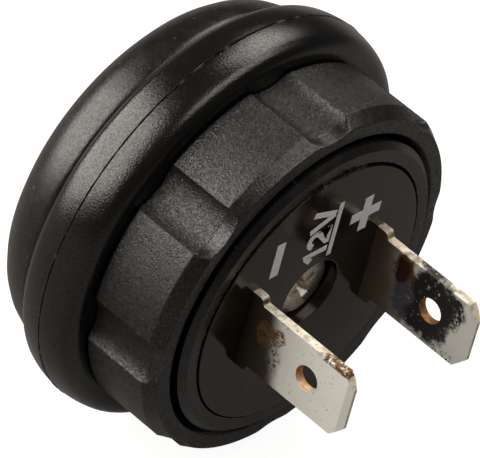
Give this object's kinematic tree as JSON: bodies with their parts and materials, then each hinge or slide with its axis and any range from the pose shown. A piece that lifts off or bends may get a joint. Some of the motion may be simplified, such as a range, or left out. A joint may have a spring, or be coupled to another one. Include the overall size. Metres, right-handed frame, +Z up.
{
  "type": "magnetic power socket",
  "caption": "Round black panel socket for a magnetic low-voltage plug, with a rubber gasket, a fluted ring nut and flat blade terminals at the back.",
  "frame": {"origin": "on the socket's axis, in the plane of the panel's front face, where the gasket bears", "axes": "+Y along the axis to the back, where the blades point; X from blade to blade; +Z up, along the width of the blades"},
  "size_m": [0.0368, 0.0308, 0.0368],
  "materials": {
    "black_moulding": "satin",
    "grained_moulding": "coarse spark grain",
    "gloss_moulding": "gloss",
    "gasket_rubber": "satin",
    "nickel_steel": "bright nickel plate",
    "spring_steel": "bright",
    "tinned_brass": "tinned, stained",
    "contact_brass": "plated"
  },
  "bodies": {
    "housing": {"socket_body": "black_moulding", "sealing_gasket": "gasket_rubber", "rear_cover": "gloss_moulding", "cover_seal": "gasket_rubber", "cover_screw": "nickel_steel", "holding_ring": "spring_steel", "return_spring": "spring_steel", "terminal_positive": "tinned_brass", "terminal_negative": "tinned_brass", "contact_pin_positive": "contact_brass", "contact_pin_negative": "contact_brass", "pin_washer_positive": "spring_steel", "pin_washer_negative": "spring_steel"},
    "carrier": {"magnet_carrier": "black_moulding", "slide_magnet_1": "nickel_steel", "slide_magnet_2": "nickel_steel", "slide_magnet_3": "nickel_steel", "slide_magnet_4": "nickel_steel", "contact_bridge_positive": "contact_brass", "contact_bridge_negative": "contact_brass"},
    "nut": {"mounting_nut": "grained_moulding"}
  },
  "joints": [
    {"name": "carrier_slide", "type": "slide", "parent": "housing", "child": "carrier", "axis": [0, -1, 0], "range_m": [0, 0.0016], "stiffness_N_per_m": 120, "springref_m": -0.003, "deforming": ["return_spring"]},
    {"name": "nut_unscrew", "type": "slide", "parent": "housing", "child": "nut", "axis": [0, 1, 0], "range_m": [0, 0.0205]}
  ]
}
